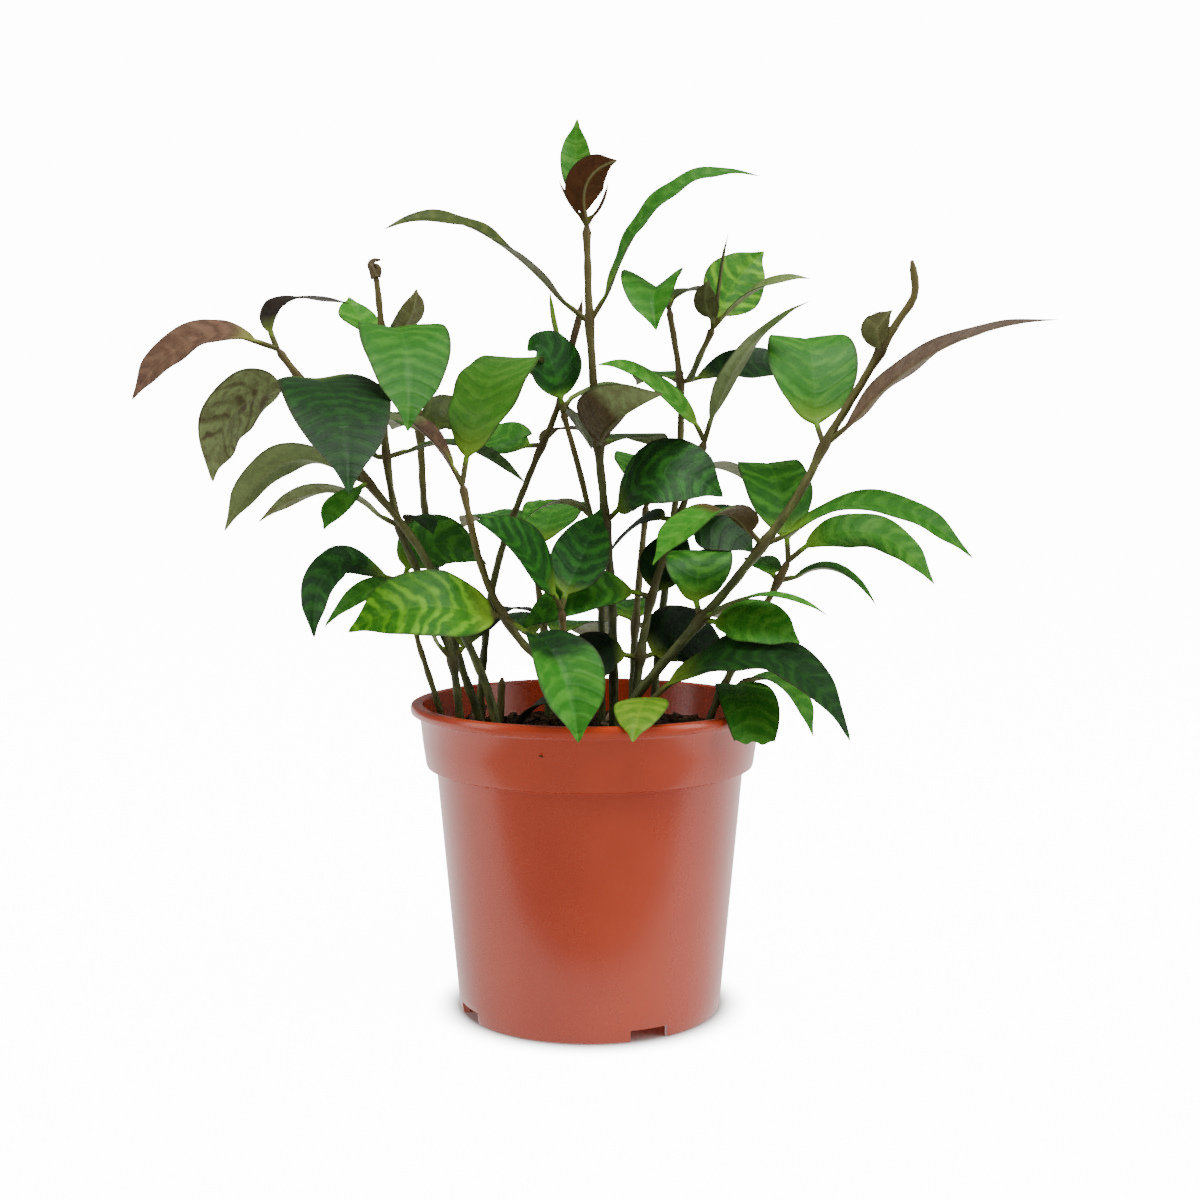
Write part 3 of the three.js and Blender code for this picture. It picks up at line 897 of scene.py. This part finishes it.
looks = {
    # lit and shaded copies of one banded leaf: this brighter copy is painted light, for leaves that catch the
    # light
    "zebraBright": leafLook("28700c", "74b81e", "869457", "57442f", 1.0),
    "zebra": leafLook("1f6312", "4a9426", "7d8a52", "523f30", 0.9),
    # the darker banded copy is painted shade, for leaves that sit in shadow
    "zebraDark": leafLook("114010", "2f7420", "66704a", "453630", 0.85),
    "mid": leafLook("2c7418", "56992f", "83915c", "57442f", 0.7),
    "oval": leafLook("377218", "5c8c2c", "83915c", "57442f", 0.6),
    "fresh": leafLook("33801a", "68a838", "8c9a64", "5e4c37", 0.7),
    # painted shade: a plain green leaf darkened, for leaves in the plant's shadowed middle
    "dark": leafLook("0d2e0c", "1f5014", "515b3c", "3e3029", 0.7),
    # painted shade: near-black leaves put low in the middle where there is only shadow, hiding the pot's back
    # wall
    "veryDark": leafLook("071a06", "12330c", "2e3a20", "241d16", 0.7),
    "olive": leafLook("3a4a1c", "62702f", "6c7044", "473a28", 0.5),
    "greyGreen": leafLook("345426", "648448", "748058", "4b4332", 0.5),
    "yellowGreen": leafLook("5f9418", "9cc432", "8c9c4c", "645a30", 0.5),
    "brown": leafLook("463818", "66582c", "604f34", "3c2e1a", 0.5),
    "bud": leafLook("3c1e08", "5e3c16", "523014", "301808", 0.5),
    "mauve": leafLook("583e30", "86694f", "7a6049", "4c342a", 0.4),
    "pale": leafLook("6c8442", "94a866", "8a9c60", "67704a", 0.35),
    "marbled": leafLook("8a9468", "a7ad80", "939e66", "4a2a24", 1.0),
    "dry": leafLook("1c130c", "352619", "1c130c", "352619", 0.2),
}

# what each group's leaves look like, from the left tip to the right one; the darker zebra, dark and
# near-black looks are painted shade, and the brighter zebra look is painted light
lookOf = {
    "back_left_leaves_1": "zebraDark zebra",
    "back_left_leaves_2": "zebra mid",
    "back_right_leaves_1": "zebra zebraDark",
    "back_right_leaves_2": "mid zebra",
    "back_tall_leaves_1": "zebra dark",
    "back_tall_leaves_2": "mid olive",
    "centre_inner_leaves_1": "zebraDark greyGreen pale",
    "centre_left_leaves_1": "mid brown",
    "centre_left_leaves_2": "yellowGreen brown",
    "centre_right_leaves_1": "veryDark veryDark",
    "centre_right_leaves_2": "zebra dark",
    "centre_right_leaves_3": "dark dark",
    "centre_right_leaves_4": "fresh pale",
    "centre_tall_leaves_1": "mid zebraDark",
    "centre_tall_leaves_2": "brown greyGreen",
    "centre_tall_leaves_3": "olive mid",
    "centre_tall_leaves_4": "bud fresh bud bud",
    "far_left_leaves_1": "pale mid",
    "far_left_leaves_2": "marbled dark",
    "far_left_leaves_3": "mauve dry mid",
    "far_right_leaves_1": "zebra mid fresh",
    "far_right_leaves_2": "brown mid",
    "far_right_leaves_3": "mid mauve",
    "far_right_leaves_4": "olive dry",
    "front_left_leaves_1": "zebraBright dark",
    "front_left_leaves_2": "mauve oval",
    "front_low_leaves_1": "veryDark",
    "front_low_leaves_2": "zebraDark zebraDark",
    "front_right_low_leaves_1": "yellowGreen dark",
    "left_bud_leaves_1": "zebra olive",
    "left_bud_leaves_2": "yellowGreen brown",
    "left_low_leaves_1": "zebraDark zebra zebraDark",
    "left_tall_leaves_1": "mid veryDark",
    "left_tall_leaves_2": "fresh dark",
    "left_tall_leaves_3": "olive greyGreen",
    "left_tall_leaves_4": "fresh olive mid",
    "right_low_leaves_1": "mid mid",
    "right_low_leaves_2": "mid mid",
    "right_low_leaves_3": "zebra fresh",
    "side_twig_leaves_1": "olive olive zebraBright pale",
}

# single leaves that differ, by group and place from the left: fold in degrees, and where one is torn off
oddLeaves = {
    ("right_low_leaves_1", 0): {"cutAt": 0.8},
    ("centre_tall_leaves_2", 0): {"fold": 42, "tipLook": "fresh", "tipFrom": 0.5},
    ("back_tall_leaves_2", 0): {"fold": 38},
    ("front_left_leaves_1", 1): {"fold": 30, "widest": 1.25, "tipLook": "mid", "tipFrom": 0.5},
    ("far_right_leaves_2", 0): {"fold": 14, "tipLook": "fresh", "tipFrom": 0.42},
    ("far_right_leaves_2", 1): {"fold": 12, "twist": -32},
    ("far_right_leaves_3", 1): {"fold": 10, "twist": -25},
    ("far_right_leaves_4", 0): {"fold": 26},
    ("far_left_leaves_3", 0): {"fold": 12, "twist": 22},
    ("far_left_leaves_3", 2): {"twist": -25},
    ("far_left_leaves_2", 0): {"fold": 4, "tipLook": "mid", "tipFrom": 0.85},
    ("far_left_leaves_1", 0): {"fold": 12, "twist": -25},
    ("front_left_leaves_2", 0): {"fold": 18, "tipLook": "pale", "tipFrom": 0.5},
    ("left_low_leaves_1", 0): {"fold": 10, "twist": 25},
    ("left_low_leaves_1", 1): {"fold": 8, "twist": 25},
    ("left_tall_leaves_1", 0): {"fold": 8, "twist": 30},
    ("left_tall_leaves_2", 0): {"fold": 8, "twist": -35},
    ("left_tall_leaves_3", 1): {"fold": 8, "twist": -35},
    ("centre_tall_leaves_3", 0): {"fold": 10, "twist": 32},
    ("centre_tall_leaves_3", 1): {"fold": 10, "twist": -34},
    ("centre_tall_leaves_4", 1): {"twist": 70},
    ("centre_right_leaves_4", 1): {"twist": -15},
    ("back_tall_leaves_1", 1): {"twist": -40},
    ("right_low_leaves_2", 1): {"fold": 10, "twist": -35},
    ("right_low_leaves_3", 1): {"fold": 8, "twist": -10},
    ("side_twig_leaves_1", 3): {"fold": 10, "twist": -30},
    ("front_low_leaves_2", 0): {"fold": 14},
    ("front_low_leaves_2", 1): {"fold": 14},
}

leafShape = {
    "steps": 72,
    "lanes": 14,
    "frameFold": 20,
    "fold": 5,
    "bladeThick": 0.5,
    "stalkThick": 1.8,
    "stalkWide": 0.95,
    "widestPower": 0.8,
    "fullness": 0.8,
    "ribDepth": 0.7,
    "grooveDepth": 0.22,
    "ripple": 0.45,
    "tipDraw": 0.4,
}


def bladeMaster():
    steps, lanes = leafShape["steps"], leafShape["lanes"]
    bpy.ops.mesh.primitive_grid_add(x_subdivisions=steps, y_subdivisions=lanes, size=2)
    blade = bpy.context.object
    blade.data.materials.append(leafTop)
    blade.data.materials.append(leafUnder)
    applyModifier(blade, "SOLIDIFY", thickness=0.02, offset=0, material_offset=1)
    smoothByAngle(blade, 60)
    return blade


def smoothStep(low, high, value):
    t = np.clip((value - low) / (high - low), 0, 1)
    return t * t * (3 - 2 * t)


def bendBlade(blade, leaf, joint, look, odd, seed):
    s = leafShape
    draw = np.random.default_rng(seed)
    places = cornersOf(blade)
    share = (places[:, 0] + 1) / 2
    across = places[:, 1]
    upper = np.sign(places[:, 2])

    # the leaf's line from the stem, and the directions across it
    count = len(leaf["right"])
    firstRing = 1 - count / 8
    line = np.vstack([joint, leaf["line"]])
    gone = np.concatenate([[0], np.cumsum(np.linalg.norm(np.diff(line, axis=0), axis=1))])
    total = gone[-1]
    length = (total - gone[1]) / (1 - firstRing)
    bladeStart = max(0.06, (total - 0.9 * length) / total)
    fine = smoothLine(line, 120)
    ahead = unit(np.gradient(fine, axis=0))
    ringAt = gone[1:-1] / total
    steps = np.linspace(0, 1, len(fine))
    right = np.stack([np.interp(steps, ringAt, leaf["right"][:, k]) for k in range(3)], 1)
    right = unit(right - ahead * (right * ahead).sum(1, keepdims=True))
    above = np.cross(right, ahead)
    twist = np.radians(draw.normal(0, 5)) * smoothStep(0.2, 1, steps)
    twist = twist + np.radians(odd.get("twist", 0)) * smoothStep(0.1, 1, steps)
    right, above = (
        right * np.cos(twist)[:, None] + above * np.sin(twist)[:, None],
        above * np.cos(twist)[:, None] - right * np.sin(twist)[:, None],
    )

    cutAt = odd.get("cutAt", 1)
    share = share * cutAt
    if cutAt < 1:
        share = share - 0.012 * (1 + np.sin(across * 7 + seed)) * smoothStep(cutAt - 0.06, cutAt, share)
    half = leaf["half"] / math.cos(math.radians(s["frameFold"])) / mm
    along = np.clip((share - bladeStart) / (1 - bladeStart), 0, 1)
    isBlade = smoothStep(bladeStart - 0.03, bladeStart + 0.05, share)
    outline = np.sin(np.pi * along ** odd.get("widest", s["widestPower"])).clip(0, 1) ** s["fullness"]
    outline = outline * (1 - s["tipDraw"] * smoothStep(0.76, 0.97, along))
    wide = np.maximum(half * outline, s["stalkWide"] * (1 - along) ** 2) + 0.15 * smoothStep(0.9, 1, along)
    wide = np.maximum(wide, 0.16)

    fold = np.radians(odd.get("fold", s["fold"] + draw.uniform(-6, 8)))
    side = np.abs(across)
    out = across * wide * (np.cos(fold) * isBlade + 1 - isBlade)
    lift = isBlade * wide * np.sin(fold) * (side**1.25 - 0.18 * side**4)
    length = total / mm
    for k in range(3):
        pitch = draw.uniform(0.12, 0.42)
        wave = np.sin(share * length * pitch + draw.uniform(0, 6.3) + (across > 0) * draw.uniform(0, 3))
        lift = lift + wave * s["ripple"] * isBlade * side**2 * np.minimum(1, wide / 8) / (1 + k)
    lift = lift - upper.clip(0, 1) * s["grooveDepth"] * isBlade * np.exp(-((out / 0.7) ** 2))
    rib = s["ribDepth"] * isBlade * (1 - along) ** 0.7 * np.exp(-((out / 0.75) ** 2)) * (upper < 0)
    stalkRound = s["stalkThick"] * np.sqrt(np.clip(1 - across**2, 0.01, 1))
    bladeThin = s["bladeThick"] * (1 - 0.45 * side**6) * (1 - 0.5 * along**3)
    thick = isBlade * bladeThin + (1 - isBlade) * stalkRound
    lift = lift + upper * thick / 2 - rib

    spot = pick(fine, share)
    aside = pick(right, share) * out[:, None]
    moveCorners(blade, spot + aside * mm + pick(above, share) * lift[:, None] * mm)

    addAttribute(blade, "leafPlace", "FLOAT_VECTOR", np.stack([share, across, share * 0 + seed], -1))
    size = np.stack([share * length / 10, across * wide / 10, share * 0 + seed * 3.7], -1)
    addAttribute(blade, "leafSize", "FLOAT_VECTOR", size)
    shift = draw.uniform(0.88, 1.14)
    for key in ("deep", "light", "under", "marble"):
        shade = np.tile(colour(look[key]), (len(share), 1))
        if "tipLook" in odd:
            start = odd.get("tipFrom", 0.7)
            tip = np.array(colour(looks[odd["tipLook"]][key]))
            shade += (tip - shade) * smoothStep(start, start + 0.12, share)[:, None]
        shade = shade * np.array([shift * draw.uniform(0.94, 1.06), shift, shift, 1])
        addAttribute(blade, key + "Colour", "FLOAT_COLOR", shade)
    addAttribute(blade, "banding", "FLOAT", np.full(len(share), look["banding"]))
    addAttribute(blade, "leafSeed", "FLOAT", np.full(len(share), seed * 5.3))


def makeLeaves():
    master = bladeMaster()
    number = 0
    for name, leaves in leafGroups.items():
        wanted = lookOf[name].split()
        if len(wanted) != len(leaves):
            print("leaves and looks differ:", name, len(leaves), len(wanted))
        blades = []
        for i, leaf in enumerate(leaves):
            number += 1
            blade = copyPiece(master, f"blade_{number}")
            look = looks[wanted[min(i, len(wanted) - 1)]]
            bendBlade(blade, leaf, joints[name]["place"], look, oddLeaves.get((name, i), {}), number)
            blades.append(blade)
        piece = joinPieces(blades, name.replace("leaves", "blades"))
        finishPiece(piece, "leaf", name)
    bpy.data.objects.remove(master)


makeLeaves()
print("leaves made")


# floor and studio lights

bpy.ops.mesh.primitive_plane_add(size=6, location=(0, 0, 0))
floor = bpy.context.object
floor.name = "pale_floor"


def floorLook():
    # seen directly the floor glows, blown out to white away from the pot; the glow fades out in a ring round
    # the pot's foot, a painted contact shadow; the pot's gloss mirrors the glow only as far as its front
    # edge, a painted reflection
    material, w, shader = newMaterial("paleFloor", Roughness=0.6, Specular_IOR_Level=0.2)
    shader["Emission Strength"].default_value = studio["skySeen"]
    shader["Base Color"].default_value = (0.62, 0.62, 0.6, 1)
    place = w.node("SeparateXYZ", {0: w.node("TexCoord").outputs["Object"]}).outputs
    flat = w.node("CombineXYZ", {0: place[0], 1: place[1]}).outputs[0]
    away = w.node("VectorMath", {0: flat}, operation="LENGTH").outputs["Value"]
    ray = w.node("LightPath").outputs
    # painted contact shadow: the glow the camera sees fades out between 43 and 56 mm from the pot's middle
    seen = w.math("MULTIPLY", w.ramp(away, 0.043, 0.056), ray["Is Camera Ray"])
    # painted reflection: behind the front edge the floor also glows for glossy rays
    front = w.ramp(place[1], studio["frontEdge"] - 0.004, studio["frontEdge"] + 0.004)
    mirrored = w.math("MULTIPLY", front, studio["mirrored"] / studio["skySeen"])
    mirrored = w.math("MULTIPLY", mirrored, ray["Is Glossy Ray"])
    glow = w.math("ADD", seen, mirrored)
    join(w, w.node("CombineColor", {0: glow, 1: glow, 2: glow}).outputs[0], shader["Emission Color"])
    return material


studio = {"frontEdge": -0.095, "mirrored": 1.6, "skySeen": 14, "skyLight": 0.27}
floor.data.materials.append(floorLook())

world = bpy.data.worlds.new("studio")
bpy.context.scene.world = world
world.use_nodes = True
sky = Wiring(world.node_tree)
seenDirectly = sky.node("LightPath").outputs["Is Camera Ray"]
skyPower = sky.node("MapRange", {0: seenDirectly, 3: studio["skyLight"], 4: studio["skySeen"]}).outputs[0]
join(sky, skyPower, world.node_tree.nodes["Background"].inputs["Strength"])
world.node_tree.nodes["Background"].inputs["Color"].default_value = (1, 1, 1, 1)

# place, size in metres, power and what each lamp points at
lamps = {
    "left_softbox": {"at": (-1.1, -0.35, 0.5), "size": (0.5, 1.0), "power": 5, "aim": (0, 0, 0.12)},
    "right_softbox": {"at": (1.1, -0.45, 0.6), "size": (0.5, 1.0), "power": 8, "aim": (0, 0, 0.12)},
    "top_softbox": {"at": (0.15, -0.35, 1.3), "size": (0.7, 0.7), "power": 15, "aim": (0, 0, 0.1)},
}
for name, lamp in lamps.items():
    turn = (Vector(lamp["aim"]) - Vector(lamp["at"])).to_track_quat("-Z", "Y").to_euler()
    bpy.ops.object.light_add(type="AREA", location=lamp["at"], rotation=turn)
    light = bpy.context.object
    light.name = name
    light.data.shape = "RECTANGLE"
    light.data.size, light.data.size_y = lamp["size"]
    light.data.energy = lamp["power"]
print("studio made")
